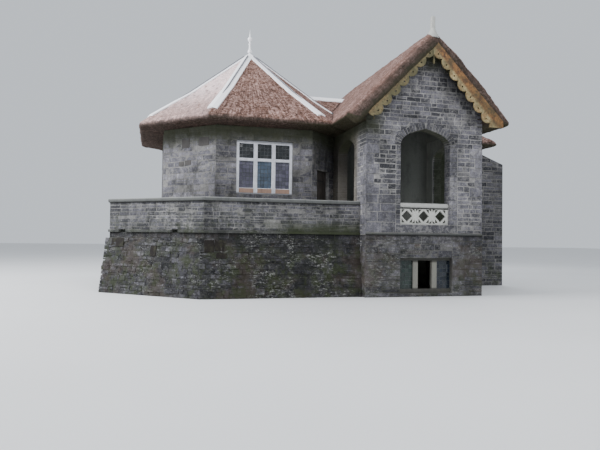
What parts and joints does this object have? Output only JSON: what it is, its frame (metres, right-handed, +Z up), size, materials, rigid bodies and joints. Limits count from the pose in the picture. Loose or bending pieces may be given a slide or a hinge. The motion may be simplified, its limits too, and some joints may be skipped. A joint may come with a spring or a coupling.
{
  "type": "thatched cottage",
  "caption": "Thatched stone garden cottage: eight-sided pavilion and gabled arcaded porch on a raised terrace.",
  "frame": {"origin": "on the ground under the middle of the bounding box", "axes": "+X along the front to the right as seen from the front, +Y to the back, +Z up"},
  "size_m": [14.058, 9.6002, 9.2533],
  "materials": {
    "terrace_rubble": "dark battered rubble stone with moss",
    "parapet_rubble": "thin coursed rubble stone",
    "pavilion_rubble": "squared grey rubble stone, green under the eaves",
    "porch_rubble": "squared grey rubble stone with pale joints",
    "plinth_rubble": "rough brown-grey rubble stone",
    "coping_stone": "weathered dressed stone",
    "window_stone": "pale dressed stone",
    "paving": "stone flags",
    "plaster": "grey lime plaster",
    "leaded_glass": "small leaded panes",
    "oak": "dark weathered boards",
    "cream_paint": "cream paint",
    "bargeboard_wood": "weathered ochre paint",
    "thatch": "weathered reed thatch",
    "lead": "pale weathered sheet lead"
  },
  "bodies": {
    "root": {"terrace_front_wall": "terrace_rubble", "terrace_cant_wall": "terrace_rubble", "terrace_side_wall": "terrace_rubble", "terrace_front_parapet": "parapet_rubble", "terrace_cant_parapet": "parapet_rubble", "terrace_side_parapet": "parapet_rubble", "terrace_coping": "coping_stone", "terrace_floor": "paving", "pavilion_front_wall": "pavilion_rubble", "pavilion_front_right_wall": "pavilion_rubble", "pavilion_right_wall": "pavilion_rubble", "pavilion_back_wall": "pavilion_rubble", "pavilion_front_left_wall": "pavilion_rubble", "pavilion_floor": "paving", "pavilion_window_frame": "window_stone", "pavilion_window_glass": "leaded_glass", "terrace_door": "oak", "porch_gable_wall": "porch_rubble", "porch_plinth": "plinth_rubble", "porch_string_course": "coping_stone", "porch_left_wall": "porch_rubble", "porch_right_wall": "porch_rubble", "porch_back_wall": "plaster", "porch_floor": "paving", "basement_floor": "paving", "balustrade_panel": "cream_paint", "balustrade_rail": "cream_paint", "basement_window_frame": "window_stone", "basement_window_glass_left": "leaded_glass", "basement_window_glass_right": "leaded_glass", "back_room_wall": "porch_rubble", "outshot_wall": "porch_rubble", "back_room_floor": "paving", "yard_wall": "porch_rubble", "pavilion_thatch": "thatch", "porch_thatch": "thatch", "link_thatch": "thatch", "outshot_thatch": "thatch", "pavilion_hip_lead": "lead", "link_ridge_lead": "lead", "pavilion_finial": "lead", "gable_finial": "cream_paint", "bargeboard_left": "bargeboard_wood", "bargeboard_right": "bargeboard_wood"}
  },
  "joints": []
}
